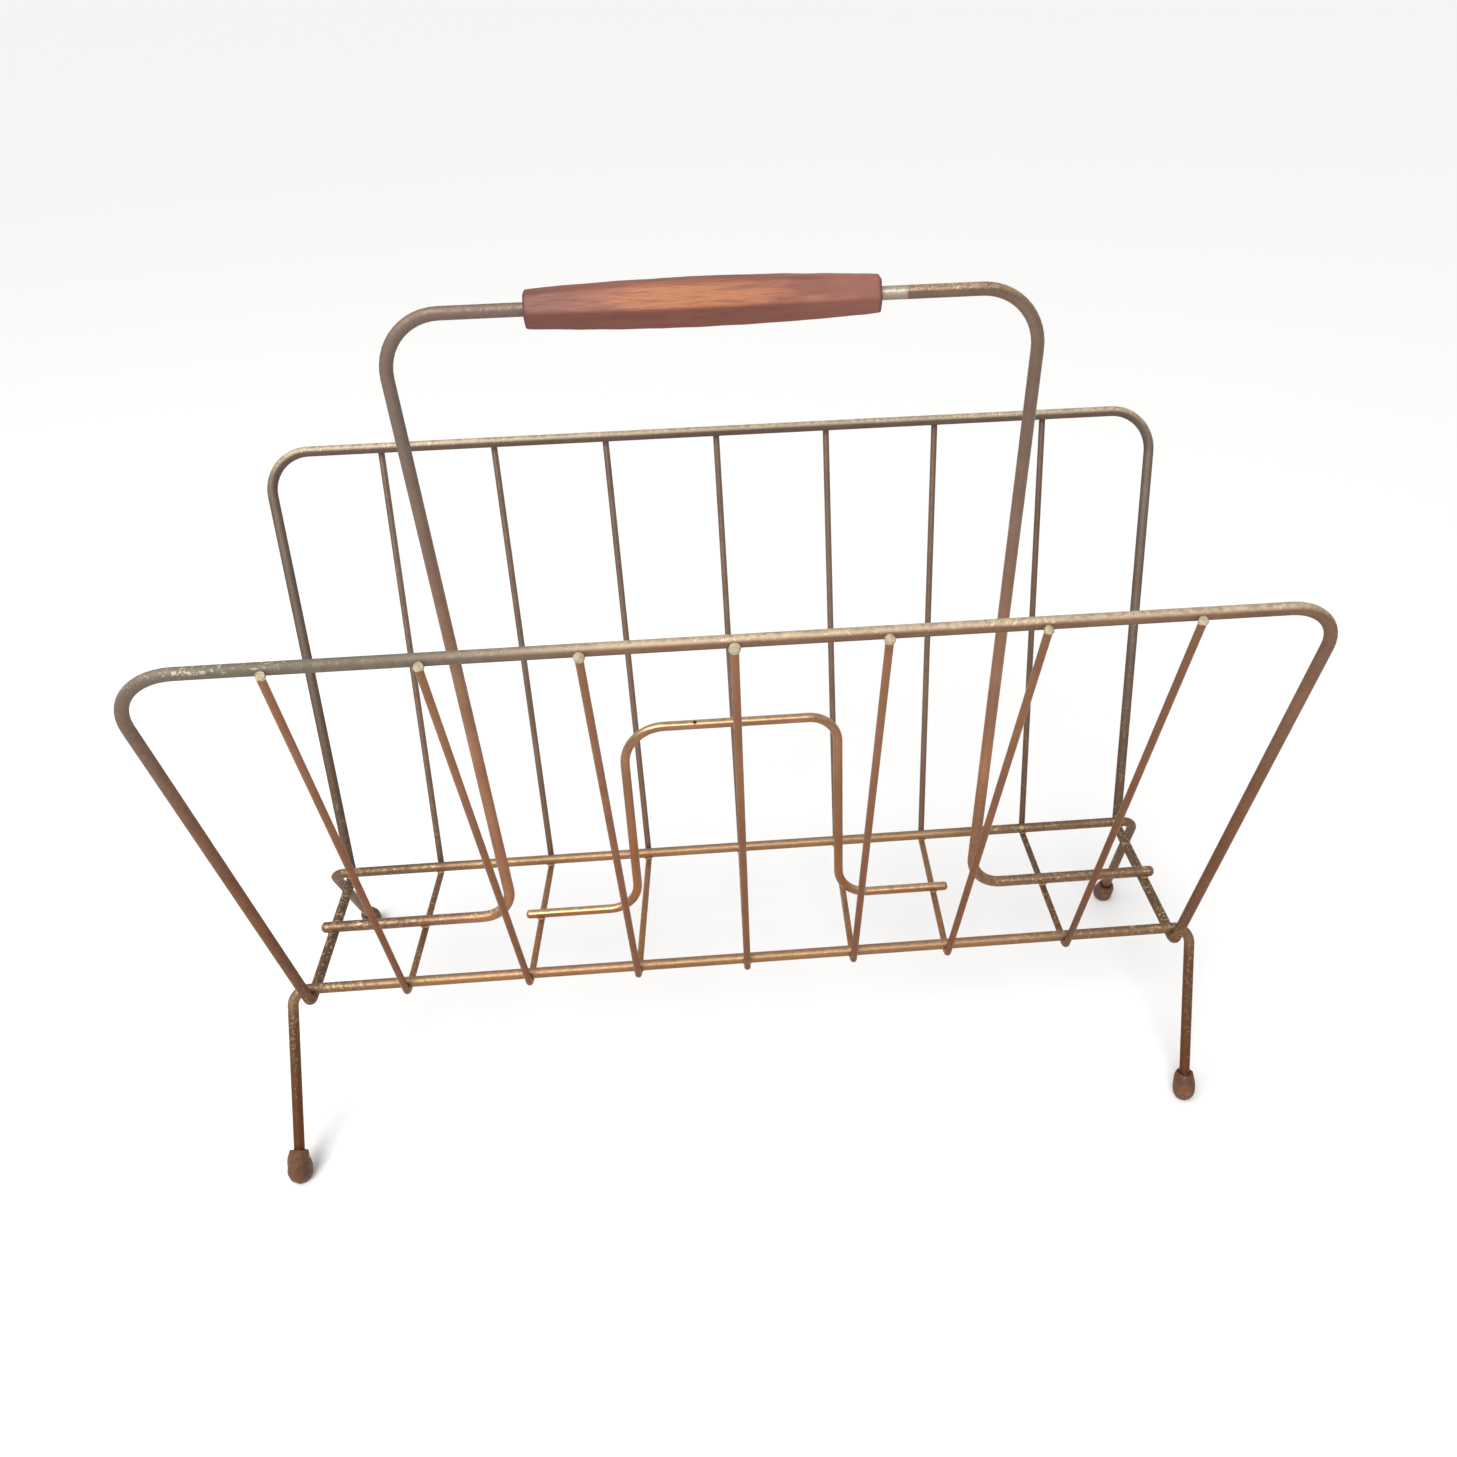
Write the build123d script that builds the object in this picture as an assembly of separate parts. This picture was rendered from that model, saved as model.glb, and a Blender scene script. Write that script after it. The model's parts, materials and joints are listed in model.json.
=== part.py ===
from build123d import *
import os
from math import asin, atan2, cos, hypot, sin, tan

# Free-standing wire magazine rack with a wooden carry grip. Millimetres.
# X runs along the rack, Y from front (-) to back (+), Z up. The origin is on the
# floor under the middle of the rack.

# Wires
frame_d = 5.0           # rim, slanting sides and end crossbars
base_d = 5.0            # base rails and the legs bent from them
handle_d = 5.5
hoop_d = 4.5
rib_d = 3.2
weld_seam = 0.05        # left between two wires where they are welded side by side

# Basket
rim_length = 448.0      # rim corner to rim corner, on the wire's centreline
rim_depth = 226.0       # front rim to back rim
base_length = 418.0     # between the two end crossbars
rail_spacing = 89.0     # front base rail to back base rail
rail_height = 82.0      # base rails above the floor
basket_height = 210.0   # rim above the base rails
rim_bends = {           # centreline radii of the left and right rim corners
    "front": (25.0, 20.0),
    "back": (20.0, 20.0),
}

# Ribs
rib_count = 7
rib_rim_pitch = 56.0    # along the rim
rib_base_pitch = 53.0   # along the base rails
rib_shifts = {          # how far each rib was set aside by hand, from left to right
    "front_rim": (1.5, 0.0, 0.0, -1.0, -1.5, 0.0, 0.5),
    "front_floor": (-4.5, 0.5, -0.5, -1.0, -2.5, -9.5, -4.0),
    "back_floor": (-2.0, 4.0, 3.5, 0.5, -0.5, -6.5, -3.5),
    "back_rim": (0.0, 0.0, 0.0, 0.0, 0.0, 0.0, 0.0),
}
rim_bead_r = 2.1        # weld bead on the end of each rib

# Legs and feet
leg_overhang = 8.5      # leg outside the end crossbar
leg_bend = 8.0
leg_splay = 35.0        # foot outside its base rail
foot_shifts = {         # how far each foot is bent from there: along X, and outward
    ("front", "left"): (-3.0, 6.0),
    ("front", "right"): (-4.0, -2.0),
    ("back", "left"): (-4.5, 22.0),
    ("back", "right"): (0.0, -1.0),
}
cap_r = 5.5             # widest radius of a foot cap, and the radius of its round end
cap_top_r = 4.1
cap_top = 9.0           # rim of the cap above its widest ring, along the leg
cap_lip = 0.9           # rounding of that rim
cap_flat = 0.7          # rubbed off where the cap stands on the floor
leg_in_cap = 1.0        # leg end below the widest ring
cap_clearance = 0.05

# Handle
handle_height = 384.0   # top bar above the floor
handle_base = 234.0     # between the uprights at the base
handle_top = 265.5      # between the uprights at the top bar
handle_bend = 24.0
handle_foot_bend = 15.0
handle_foot_end = 2.0   # foot beyond the outside of the end crossbar
handle_end_r = 2.0      # rounding of the rod's two ends

# Divider hoop
hoop_width = 102.0
hoop_height = 188.8     # top bar above the floor
hoop_shift = 0.5        # of the upright part, to the right
hoop_bends = (20.0, 14.0)   # left and right
hoop_foot_bend = 15.0
hoop_end_r = 1.6        # rounding of the wire's two ends
hoop_foot_end = 5.5     # foot beyond the rib that it is welded to
hoop_foot_ribs = (1, 5)  # second and sixth rib

# Wooden grip
grip_length = 140.5
grip_middle = 17.9      # across the flats at the middle
grip_end = 14.0         # across the flats at the ends
grip_shift = -3.8       # where it has slid to on the top bar
grip_edge_r = 2.0       # rounding of the six long edges
grip_rim_r = 1.3        # rounding of the two ends
grip_clearance = 0.08   # radial, on the rod

# Levels that follow from the wires lying on each other
floor_top = rail_height - base_d / 2 - weld_seam
rib_floor = floor_top - rib_d / 2
crossbar_level = floor_top - frame_d / 2
handle_foot_level = floor_top + weld_seam + handle_d / 2
hoop_foot_level = floor_top + weld_seam + hoop_d / 2
rim_level = rail_height + basket_height
rail_y = rail_spacing / 2
rim_y = rim_depth / 2
base_x = base_length / 2
rim_x = rim_length / 2

sides = {"front": -1, "back": 1}
hands = {"left": -1, "right": 1}


def save(shape, node):
    """Write one node's solids under its name."""
    shape.label = node
    export_step(shape, f"parts/{node}.step")


def wire(points, radii, diameter):
    """A round wire bent at each inner point to the given centreline radius."""
    path = FilletPolyline(*points, radius=radii)
    start = Plane(origin=path @ 0, z_dir=path % 0)
    return sweep(start * Circle(diameter / 2), path=path)


def outside_run(rail_gap, rim_gap):
    """Points (y, z) of a straight wire that passes outside the base rail and the rim at
    the given centre distances, one beside each of them, and the run's slope."""
    rise, run = basket_height, rim_y - rail_y
    slope = atan2(rise, run) + asin((rail_gap - rim_gap) / hypot(rise, run))
    low = (rail_y + rail_gap * sin(slope), rail_height - rail_gap * cos(slope))
    high = (rim_y + rim_gap * sin(slope), rim_level - rim_gap * cos(slope))
    return low, high, slope


def rounded_rod(rod, end_r):
    """The rod with its two cut ends rounded over."""
    ends = rod.faces().filter_by(GeomType.PLANE)
    return fillet([edge for end in ends for edge in end.edges()], end_r)


def bow(place):
    """Half of the outer frame: rim, two slanting sides and half of each crossbar."""
    side = sides[place]
    hug = (frame_d + base_d) / 2 + weld_seam
    low, _, slope = outside_run(hug, 0)
    corner_y = low[0] - (low[1] - crossbar_level) / tan(slope)
    ends = [(base_x, 0, crossbar_level), (base_x, side * corner_y, crossbar_level),
            (rim_x, side * rim_y, rim_level)]
    mirrored = [(-x, y, z) for x, y, z in ends]
    return wire(mirrored + ends[::-1], [hug, *rim_bends[place], hug], frame_d)


def rib_x(index, pitch, where):
    """A rib's place along the rack at the rim or under a base rail."""
    return (index - (rib_count - 1) / 2) * pitch + rib_shifts[where][index]


def rib_middle_x(index):
    """A rib's place along the rack under the divider, halfway between the base rails."""
    return sum(rib_x(index, rib_base_pitch, f"{place}_floor") for place in sides) / 2


def rib_points(index):
    """A rib's four points, from its end on the front rim to its end on the back rim."""
    low, high, slope = outside_run((rib_d + base_d) / 2 + weld_seam,
                                   (rib_d + frame_d) / 2 + weld_seam)
    corner_y = low[0] - (low[1] - rib_floor) / tan(slope)
    front, back = ([
        (rib_x(index, rib_rim_pitch, f"{place}_rim"), side * high[0], high[1]),
        (rib_x(index, rib_base_pitch, f"{place}_floor"), side * corner_y, rib_floor),
    ] for place, side in sides.items())
    return front + back[::-1]


def rib(index):
    """A thin wire from rim to rim, under both base rails."""
    hug = (rib_d + base_d) / 2 + weld_seam
    return wire(rib_points(index), [hug, hug], rib_d)


def rim_beads(place, rim, ribs):
    """A weld bead over the end of each rib, on the rim's outside."""
    beads = []
    for index, rib_wire in enumerate(ribs):
        end = rib_points(index)[0 if place == "front" else -1]
        bead = Pos(*end) * Sphere(rim_bead_r)
        beads.append(bead - rim - rib_wire)
    return Compound(children=[bead.solids().sort_by(SortBy.VOLUME)[-1] for bead in beads])


def leg_axis(place, hand):
    """Centre of a foot cap's widest ring, the leg's corner above it, and their unit vector."""
    aside, outward = foot_shifts[place, hand]
    corner = Vector(hands[hand] * (base_x + leg_overhang), sides[place] * rail_y, rail_height)
    ring = Vector(corner.X + aside, sides[place] * (rail_y + leg_splay + outward),
                  cap_r - cap_flat)
    return ring, corner, (corner - ring).normalized()


def base_wire(place):
    """One base rail with the two legs bent down from its ends."""
    left, right = ([ring - up * leg_in_cap, corner] for ring, corner, up in
                   (leg_axis(place, hand) for hand in hands))
    return wire(left + right[::-1], [leg_bend, leg_bend], base_d)


def foot_cap(place, hand):
    """A moulded cap pushed on the end of a leg, with a flat where it stands."""
    ring, _, up = leg_axis(place, hand)
    bore_r = base_d / 2 + cap_clearance
    outline = Wire([
        CenterArc((0, 0), cap_r, 270, 90),
        Spline((cap_r, 0), (cap_top_r, cap_top - cap_lip), tangents=((0, 1), (-0.1, 1))),
        Line((cap_top_r, cap_top - cap_lip), (cap_top_r - cap_lip, cap_top)),
        Line((cap_top_r - cap_lip, cap_top), (bore_r, cap_top)),
        Line((bore_r, cap_top), (bore_r, -leg_in_cap - cap_clearance)),
        Line((bore_r, -leg_in_cap - cap_clearance), (0, -leg_in_cap - cap_clearance)),
        Line((0, -leg_in_cap - cap_clearance), (0, -cap_r)),
    ])
    cap = revolve(Plane.XZ * Face(outline), Axis.Z)
    placed = Plane(origin=ring, x_dir=(0, sides[place], 0), z_dir=up) * cap
    below = Box(8 * cap_r, 8 * cap_r, 8 * cap_r, align=(Align.CENTER, Align.CENTER, Align.MAX))
    return placed - Pos(ring.X, ring.Y, 0) * below


def handle_rod():
    """An inverted U whose feet are bent outward along the rack."""
    foot_x = base_x + frame_d / 2 + handle_foot_end
    right = [(handle_top / 2, 0, handle_height), (handle_base / 2, 0, handle_foot_level),
             (foot_x, 0, handle_foot_level)]
    left = [(-x, y, z) for x, y, z in right[::-1]]
    radii = [handle_foot_bend, handle_bend, handle_bend, handle_foot_bend]
    return rounded_rod(wire(left + right, radii, handle_d), handle_end_r)


def divider_hoop():
    """A low hoop between the two pockets, with its feet on the ribs."""
    left_end = rib_middle_x(hoop_foot_ribs[0]) - rib_d / 2 - hoop_foot_end
    right_end = rib_middle_x(hoop_foot_ribs[1]) + rib_d / 2 + hoop_foot_end
    middle = (left_end + right_end) / 2 + hoop_shift
    left_x, right_x = middle - hoop_width / 2, middle + hoop_width / 2
    points = [(left_end, 0, hoop_foot_level), (left_x, 0, hoop_foot_level),
              (left_x, 0, hoop_height), (right_x, 0, hoop_height),
              (right_x, 0, hoop_foot_level), (right_end, 0, hoop_foot_level)]
    radii = [hoop_foot_bend, *hoop_bends, hoop_foot_bend]
    return rounded_rod(wire(points, radii, hoop_d), hoop_end_r)


def wooden_grip():
    """A hexagonal sleeve, thicker at the middle, that turns and slides on the top bar."""
    half, end, middle = grip_length / 2, grip_end / 2, grip_middle / 2
    crowned = Wire([
        ThreePointArc((-half, end), (0, middle), (half, end)),
        Line((half, end), (half, -end)),
        ThreePointArc((half, -end), (0, -middle), (-half, -end)),
        Line((-half, -end), (-half, end)),
    ])
    slab = extrude(Face(crowned), amount=grip_middle, both=True)
    body = slab & (Rot(60, 0, 0) * slab) & (Rot(120, 0, 0) * slab)
    long_edges = [e for e in body.edges() if e.length > grip_length / 2]
    body = fillet(long_edges, grip_edge_r)
    rims = [f.outer_wire().edges() for f in body.faces().filter_by(Axis.X)]
    body = fillet([e for rim in rims for e in rim], grip_rim_r)
    bore = Rot(0, 90, 0) * Cylinder(handle_d / 2 + grip_clearance, 2 * grip_length)
    return Pos(grip_shift, 0, handle_height) * Rot(90, 0, 0) * (body - bore)


os.makedirs("parts", exist_ok=True)

bows = {place: bow(place) for place in sides}
ribs = [rib(index) for index in range(rib_count)]
for place in sides:
    save(bows[place], f"{place}_bow")
    save(base_wire(place), f"{place}_base_wire")
    save(rim_beads(place, bows[place], ribs), f"{place}_rim_beads")
    for hand in hands:
        save(foot_cap(place, hand), f"{place}_{hand}_foot_cap")
for index, rib_wire in enumerate(ribs):
    save(rib_wire, f"rib_{index + 1}")
save(handle_rod(), "handle_rod")
save(divider_hoop(), "divider_hoop")
save(wooden_grip(), "wooden_grip")
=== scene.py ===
import json
import math

import bmesh
import bpy
from mathutils import Matrix, Vector


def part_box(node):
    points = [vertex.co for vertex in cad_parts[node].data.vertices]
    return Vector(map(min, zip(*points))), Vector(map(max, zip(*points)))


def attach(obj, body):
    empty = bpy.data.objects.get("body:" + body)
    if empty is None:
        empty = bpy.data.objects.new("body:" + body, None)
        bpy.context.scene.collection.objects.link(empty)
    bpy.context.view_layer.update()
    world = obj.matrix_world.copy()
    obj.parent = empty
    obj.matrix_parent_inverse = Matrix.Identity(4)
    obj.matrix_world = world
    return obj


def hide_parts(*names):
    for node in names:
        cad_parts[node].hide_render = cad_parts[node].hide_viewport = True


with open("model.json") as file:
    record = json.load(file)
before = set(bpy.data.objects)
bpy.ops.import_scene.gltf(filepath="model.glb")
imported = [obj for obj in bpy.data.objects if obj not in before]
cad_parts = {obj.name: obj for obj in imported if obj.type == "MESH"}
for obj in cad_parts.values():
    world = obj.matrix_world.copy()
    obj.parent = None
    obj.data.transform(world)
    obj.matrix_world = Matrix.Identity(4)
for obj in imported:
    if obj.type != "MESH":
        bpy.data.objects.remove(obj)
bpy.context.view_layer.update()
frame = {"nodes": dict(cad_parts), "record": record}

print("frame loaded:", len(frame["nodes"]), "nodes")


# camera: close over the front rim, a little left of the middle
shot = {
    "place": (-0.0097, -0.5261, 0.5119),
    "yaw": 3.41,            # degrees to the right of +Y
    "pitch": -30.97,
    "roll": -1.75,
    "lens": 32.36,
    "shiftX": -0.0357,
    "shiftY": -0.0149,
}


def addCamera():
    data = bpy.data.cameras.new("shotCamera")
    data.lens = shot["lens"]
    data.sensor_width = 36
    data.shift_x = shot["shiftX"]
    data.shift_y = shot["shiftY"]
    data.clip_start = 0.02
    data.clip_end = 100
    camera = bpy.data.objects.new("shotCamera", data)
    bpy.context.scene.collection.objects.link(camera)
    turn = Matrix.Rotation(math.radians(-shot["yaw"]), 4, "Z")
    tip = Matrix.Rotation(math.radians(90 + shot["pitch"]), 4, "X")
    lean = Matrix.Rotation(math.radians(shot["roll"]), 4, "Z")
    camera.matrix_world = Matrix.Translation(shot["place"]) @ turn @ tip @ lean
    bpy.context.scene.camera = camera


studio = {
    "worldTone": (1.0, 0.99, 0.98, 1),
    "worldStrength": 0.55,
    "floorTone": (0.92, 0.92, 0.915, 1),
    "floorHalf": 30.0,
    "sunTilt": (44, -16, 0),
    "sunAngle": 30,
    "sunStrength": 2.1,
    "softbox": {"place": (-0.7, -0.5, 1.3), "size": 0.8, "power": 8},
}


def addStudio():
    scene = bpy.context.scene
    scene.view_settings.view_transform = "Standard"
    scene.view_settings.look = "None"
    world = bpy.data.worlds.new("studioWorld")
    world.use_nodes = True
    sky = world.node_tree.nodes["Background"]
    sky.inputs["Color"].default_value = studio["worldTone"]
    sky.inputs["Strength"].default_value = studio["worldStrength"]
    scene.world = world

    bpy.ops.object.select_all(action="DESELECT")
    bpy.ops.mesh.primitive_plane_add(size=2 * studio["floorHalf"], location=(0, 0, 0))
    floor = bpy.context.object
    floor.name = "studioFloor"
    paper = bpy.data.materials.new("floorPaper")
    paper.use_nodes = True
    surface = paper.node_tree.nodes["Principled BSDF"]
    surface.inputs["Base Color"].default_value = studio["floorTone"]
    surface.inputs["Roughness"].default_value = 0.9
    surface.inputs["Specular IOR Level"].default_value = 0.1
    floor.data.materials.append(paper)

    sun = bpy.data.lights.new("softSun", "SUN")
    sun.energy = studio["sunStrength"]
    sun.angle = math.radians(studio["sunAngle"])
    sunObject = bpy.data.objects.new("softSun", sun)
    sunObject.rotation_euler = [math.radians(a) for a in studio["sunTilt"]]
    scene.collection.objects.link(sunObject)

    box = studio["softbox"]
    lamp = bpy.data.lights.new("softbox", "AREA")
    lamp.shape = "SQUARE"
    lamp.size = box["size"]
    lamp.energy = box["power"]
    lampObject = bpy.data.objects.new("softbox", lamp)
    lampObject.location = box["place"]
    aim = Vector((0, 0, 0.2)) - Vector(box["place"])
    lampObject.rotation_euler = aim.to_track_quat("-Z", "Y").to_euler()
    scene.collection.objects.link(lampObject)


addCamera()
addStudio()
print("camera, floor and light placed")


# node tree helpers
def addGroup(name, inputs, outputs):
    group = bpy.data.node_groups.new(name, "ShaderNodeTree")
    for label, kind, value in inputs:
        socket = group.interface.new_socket(label, in_out="INPUT", socket_type="NodeSocket" + kind)
        socket.default_value = value
    for label, kind in outputs:
        group.interface.new_socket(label, in_out="OUTPUT", socket_type="NodeSocket" + kind)
    return group, group.nodes.new("NodeGroupInput"), group.nodes.new("NodeGroupOutput")


def put(tree, kind, **values):
    # a node with its settings: attributes by name, sockets by label
    node = tree.nodes.new("ShaderNode" + kind)
    for name, value in values.items():
        if hasattr(node, name):
            setattr(node, name, value)
        else:
            node.inputs[name].default_value = value
    return node


def calc(tree, operation, first, second=0.0, third=None):
    node = tree.nodes.new("ShaderNodeMath")
    node.operation = operation
    for socket, value in zip(node.inputs, (first, second, third)):
        if isinstance(value, bpy.types.NodeSocket):
            tree.links.new(value, socket)
        elif value is not None:
            socket.default_value = value
    return node.outputs[0]


def blendTones(tree, factor, first, second):
    # sockets go by number, because the mix node has several of each label
    node = tree.nodes.new("ShaderNodeMix")
    node.data_type = "RGBA"
    for index, value in ((0, factor), (6, first), (7, second)):
        if isinstance(value, bpy.types.NodeSocket):
            tree.links.new(value, node.inputs[index])
        else:
            node.inputs[index].default_value = value
    return node.outputs[2]


def spread(tree, value, low, high, toLow=0.0, toHigh=1.0):
    # low..high of the value becomes toLow..toHigh, with soft ends
    node = tree.nodes.new("ShaderNodeMapRange")
    node.interpolation_type = "SMOOTHSTEP"
    tree.links.new(value, node.inputs["Value"])
    for label, amount in (("From Min", low), ("From Max", high), ("To Min", toLow), ("To Max", toHigh)):
        if isinstance(amount, bpy.types.NodeSocket):
            tree.links.new(amount, node.inputs[label])
        else:
            node.inputs[label].default_value = amount
    return node.outputs["Result"]


def srgb(red, green, blue):
    # a colour picked on screen, as the linear one that shaders use
    out = []
    for channel in (red, green, blue):
        c = channel / 255
        out.append(c / 12.92 if c <= 0.04045 else ((c + 0.055) / 1.055) ** 2.4)
    return (*out, 1)


def useGroup(tree, group, **values):
    node = tree.nodes.new("ShaderNodeGroup")
    node.node_tree = group
    for name, value in values.items():
        node.inputs[name].default_value = value
    return node


def objectParts(tree):
    # x, y and z of the point on the piece
    parts = tree.nodes.new("ShaderNodeSeparateXYZ")
    tree.links.new(put(tree, "TexCoord").outputs["Object"], parts.inputs[0])
    return parts.outputs


def startMaterial(name):
    material = bpy.data.materials.new(name)
    material.use_nodes = True
    return material, material.node_tree, material.node_tree.nodes["Principled BSDF"]


def addBump(tree, surface, height, distance, strength=1.0):
    bump = put(tree, "Bump", Strength=strength, Distance=distance)
    tree.links.new(height, bump.inputs["Height"])
    tree.links.new(bump.outputs["Normal"], surface.inputs["Normal"])


# effects that several finishes share
def makeMottle():
    # cloudy patches at two sizes
    group, given, result = addGroup(
        "mottle",
        [("Size", "Float", 60.0), ("Detail", "Float", 4.0)],
        [("Patches", "Float"), ("Fine", "Float")])
    place = put(group, "TexCoord").outputs["Object"]
    for label, factor in (("Patches", 1.0), ("Fine", 9.0)):
        noise = put(group, "TexNoise", Roughness=0.62)
        group.links.new(place, noise.inputs["Vector"])
        group.links.new(calc(group, "MULTIPLY", given.outputs["Size"], factor), noise.inputs["Scale"])
        group.links.new(given.outputs["Detail"], noise.inputs["Detail"])
        group.links.new(spread(group, noise.outputs["Fac"], 0.3, 0.7), result.inputs[label])
    return group


def makeSpecks():
    # small irregular chips, gathered where a slow noise is high
    group, given, result = addGroup(
        "specks",
        [("Size", "Float", 600.0), ("Cover", "Float", 0.3), ("Gathering", "Float", 30.0)],
        [("Chips", "Float")])
    place = put(group, "TexCoord").outputs["Object"]
    noise = put(group, "TexNoise", Detail=3.0, Roughness=0.55, Distortion=0.6)
    group.links.new(place, noise.inputs["Vector"])
    group.links.new(given.outputs["Size"], noise.inputs["Scale"])
    field = put(group, "TexNoise", Detail=1.0)
    group.links.new(place, field.inputs["Vector"])
    group.links.new(given.outputs["Gathering"], field.inputs["Scale"])
    lift = calc(group, "MULTIPLY_ADD", field.outputs["Fac"], 0.35, noise.outputs["Fac"])
    edge = calc(group, "SUBTRACT", 0.95, calc(group, "MULTIPLY", given.outputs["Cover"], 0.3))
    high = calc(group, "ADD", edge, 0.035)
    group.links.new(spread(group, lift, edge, high), result.inputs["Chips"])
    return group


def makeUpSide():
    # how far a surface faces up, in the piece's own space
    group, given, result = addGroup(
        "upSide",
        [("From", "Float", -0.3), ("To", "Float", 0.9)],
        [("Up", "Float")])
    parts = put(group, "SeparateXYZ")
    group.links.new(put(group, "TexCoord").outputs["Normal"], parts.inputs[0])
    up = spread(group, parts.outputs["Z"], given.outputs["From"], given.outputs["To"])
    group.links.new(up, result.inputs["Up"])
    return group


def makePlaceReflection():
    # painted reflection of the surroundings, laid out as two changes of tone: with height, and towards the
    # back of the rack
    group, given, result = addGroup(
        "ageing",
        [("Low", "Float", 0.08), ("High", "Float", 0.30)],
        [("Height", "Float"), ("Behind", "Float")])
    parts = objectParts(group)
    height = spread(group, parts["Z"], given.outputs["Low"], given.outputs["High"])
    group.links.new(height, result.inputs["Height"])
    group.links.new(spread(group, parts["Y"], -0.05, 0.09), result.inputs["Behind"])
    return group


def makeNearPoint():
    # 1 around a point, fading slowly out to the radius
    group, given, result = addGroup(
        "nearPoint",
        [("Point", "Vector", (0, 0, 0)), ("Radius", "Float", 0.01)],
        [("Near", "Float")])
    gap = put(group, "VectorMath", operation="DISTANCE")
    group.links.new(put(group, "TexCoord").outputs["Object"], gap.inputs[0])
    group.links.new(given.outputs["Point"], gap.inputs[1])
    inner = calc(group, "MULTIPLY", given.outputs["Radius"], 0.35)
    far = spread(group, gap.outputs["Value"], inner, given.outputs["Radius"])
    group.links.new(calc(group, "SUBTRACT", 1.0, far), result.inputs["Near"])
    return group


mottle = makeMottle()
specks = makeSpecks()
upSide = makeUpSide()
ageing = makePlaceReflection()
nearPoint = makeNearPoint()


# brass plating under old lacquer; each wire has its own share of wear, of painted reflection, of painted top
# highlight and of painted underside shade
brass = {
    "stainTone": srgb(74, 50, 36),
    "stainShare": 0.28,
    "patchSize": 45.0,
    "chipTone": srgb(222, 206, 172),
    "chipSize": 900.0,
    "flecks": {"Size": 620.0, "Cover": 0.62, "Gathering": 90.0},
    "underShare": 0.8,
    "metallic": 0.72,
    "gloss": 0.3,
    "reliefDepth": 0.00012,
}
brassWear = {
    # from, to: the height over which low turns to high; behind: the tone at the back of the rack; these tones
    # are painted reflection, laid out by place
    # top: rubbed upper sides, partly wear and partly painted top highlight, and the share of it low down and
    # high up
    # the under tones are painted shade on the sides that face down
    "rimBrass": {"low": srgb(124, 80, 50), "high": srgb(134, 102, 82), "from": 0.10, "to": 0.29,
                 "behind": srgb(104, 92, 83), "behindShare": 0.9,
                 "top": srgb(212, 194, 166), "topShare": (0.2, 1.0),
                 "under": srgb(112, 88, 72), "chips": 0.48, "roughness": (0.54, 0.70), "relief": 0.5},
    "ribBrass": {"low": srgb(126, 72, 31), "high": srgb(150, 105, 75), "from": 0.08, "to": 0.29,
                 "behind": srgb(124, 108, 98), "behindShare": 0.9,
                 "top": srgb(186, 142, 100), "topShare": (0.85, 0.5),
                 "under": srgb(112, 66, 35), "chips": 0.12, "roughness": (0.32, 0.48), "relief": 0.3},
    "railBrass": {"low": srgb(94, 52, 21), "high": srgb(148, 108, 72), "from": 0.068, "to": 0.080,
                  "behind": srgb(158, 124, 92), "behindShare": 0.4,
                  "top": srgb(176, 146, 114), "topShare": (0.2, 0.85),
                  "under": srgb(112, 74, 48), "chips": 0.3, "roughness": (0.40, 0.54), "relief": 0.45},
    "handleBrass": {"low": srgb(162, 114, 84), "high": srgb(126, 106, 92), "from": 0.12, "to": 0.34,
                    "behind": srgb(132, 113, 100), "behindShare": 0.0,
                    "top": srgb(196, 164, 128), "topShare": (0.6, 0.9),
                    "under": srgb(122, 92, 76), "chips": 0.56, "roughness": (0.30, 0.48), "relief": 0.5},
    "hoopBrass": {"low": srgb(150, 100, 64), "high": srgb(154, 112, 84), "from": 0.10, "to": 0.18,
                  "behind": srgb(162, 120, 96), "behindShare": 0.0,
                  "top": srgb(204, 176, 136), "topShare": (0.95, 0.85),
                  "under": srgb(128, 88, 64), "chips": 0.05, "roughness": (0.28, 0.36), "relief": 0.03},
}
# dark rough ends of the base, where the wires were heated most
tarnish = {
    "left": {"place": (-0.215, 0.014, 0.080), "radius": 0.105, "share": 0.85},
    "right": {"place": (0.195, 0.012, 0.080), "radius": 0.115, "share": 0.80},
    "tone": srgb(102, 82, 66),
    "flecks": srgb(206, 178, 136),
    "dull": 0.12,
}


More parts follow.
